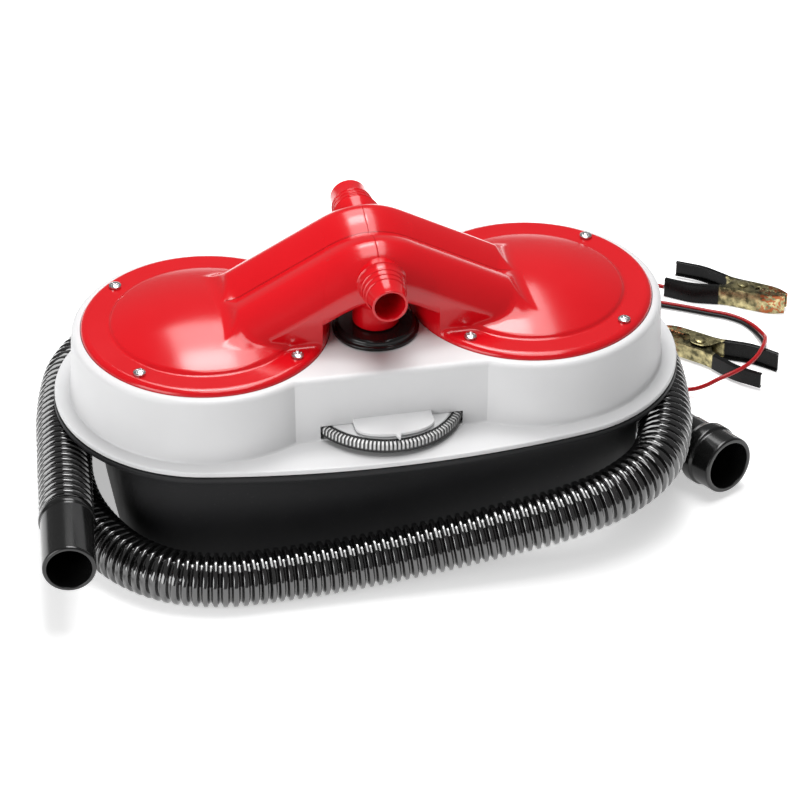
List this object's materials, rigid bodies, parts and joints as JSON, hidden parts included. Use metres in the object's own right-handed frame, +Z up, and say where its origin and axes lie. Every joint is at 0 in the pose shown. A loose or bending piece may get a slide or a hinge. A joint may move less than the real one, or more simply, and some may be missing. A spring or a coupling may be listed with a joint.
{
  "type": "air pump",
  "caption": "Low twin-chamber 12 V diaphragm air pump with a ribbed hose wound round its base and a lead ending in two battery clips.",
  "frame": {"origin": "middle of the body on the floor, under the four feet, leaving out the hose, the lead and its clips", "axes": "+X along the two chambers to the right, -Y to the front where the pressure dial is, +Z up"},
  "size_m": [0.4642, 0.3046, 0.1585],
  "materials": {
    "black_gloss": "gloss",
    "white": "satin",
    "red": "gloss",
    "black": "satin",
    "hose": "gloss",
    "rubber": "matte",
    "steel": "satin",
    "can": "satin",
    "plated": "satin",
    "alloy": "satin",
    "nylon": "matte",
    "red_wire": "satin",
    "black_wire": "satin"
  },
  "bodies": {
    "body": {"base_tub": "black_gloss", "upper_case": "white", "left_cover": "red", "right_cover": "red", "delivery_spigot": "red", "intake_spigot": "red", "sense_tube": "red", "relief_capsule": "black", "relief_spring": "steel", "dial_spindle": "steel", "motor_can": "can", "motor_end_cap": "black", "motor_clamp": "alloy", "lead_gland": "black", "hose": "hose", "hose_cuff_left": "hose", "hose_cuff_right": "hose", "lead_red": "red_wire", "lead_black": "black_wire", "lid_screw_1": "steel", "lid_screw_2": "steel", "lid_screw_3": "steel", "lid_screw_4": "steel", "lid_screw_5": "steel", "lid_screw_6": "steel", "lid_screw_7": "steel", "lid_screw_8": "steel", "base_screw_1": "steel", "foot_1": "rubber", "base_screw_2": "steel", "foot_2": "rubber", "base_screw_3": "steel", "foot_3": "rubber", "base_screw_4": "steel", "foot_4": "rubber", "left_diaphragm": "rubber", "left_valve_plate": "nylon", "left_intake_flap": "rubber", "left_delivery_flap": "rubber", "right_diaphragm": "rubber", "right_valve_plate": "nylon", "right_intake_flap": "rubber", "right_delivery_flap": "rubber", "red_clip_jaw": "plated", "red_clip_spring": "steel", "black_clip_jaw": "plated", "black_clip_spring": "steel"},
    "crank": {"armature": "steel", "left_eccentric": "steel", "right_eccentric": "steel"},
    "left_rod": {"left_rod": "alloy", "left_piston_plate": "nylon"},
    "right_rod": {"right_rod": "alloy", "right_piston_plate": "nylon"},
    "dial": {"pressure_dial": "white", "dial_grip_ring": "black"},
    "plunger": {"relief_plunger": "steel"},
    "red_lever": {"red_clip_lever": "plated"},
    "black_lever": {"black_clip_lever": "plated"}
  },
  "joints": [
    {"name": "motor_spin", "type": "hinge", "parent": "body", "child": "crank", "pos_m": [0, 0, 0.0361], "axis": [1, 0, 0], "continuous": true, "deforming": ["left_diaphragm", "right_diaphragm"]},
    {"name": "left_rod_turn", "type": "hinge", "parent": "crank", "child": "left_rod", "pos_m": [-0.088, 0, 0.0401], "axis": [1, 0, 0], "continuous": true},
    {"name": "right_rod_turn", "type": "hinge", "parent": "crank", "child": "right_rod", "pos_m": [0.088, 0, 0.0321], "axis": [1, 0, 0], "continuous": true},
    {"name": "pressure_dial_turn", "type": "hinge", "parent": "body", "child": "dial", "pos_m": [0, -0.042, 0.0698], "axis": [0, 0, 1], "range_deg": [0, 270]},
    {"name": "relief_plunger_lift", "type": "slide", "parent": "body", "child": "plunger", "axis": [0, 0, 1], "range_m": [0, 0.003], "deforming": ["relief_spring"]},
    {"name": "red_clip_open", "type": "hinge", "parent": "body", "child": "red_lever", "pos_m": [0.247, 0.119, 0.0062], "axis": [0, 0, 1], "range_deg": [0, 22], "stiffness_Nm_per_rad": 0.15, "springref_deg": -20.05},
    {"name": "black_clip_open", "type": "hinge", "parent": "body", "child": "black_lever", "pos_m": [0.207, 0.068, 0.0062], "axis": [0, 0, 1], "range_deg": [0, 22], "stiffness_Nm_per_rad": 0.15, "springref_deg": -20.05}
  ],
  "couplings": [
    {"joint": "left_rod_turn", "follows": "motor_spin", "ratio": -1},
    {"joint": "right_rod_turn", "follows": "motor_spin", "ratio": -1},
    {"joint": "relief_plunger_lift", "follows": "pressure_dial_turn", "m_per_rad": 0.00063661}
  ]
}
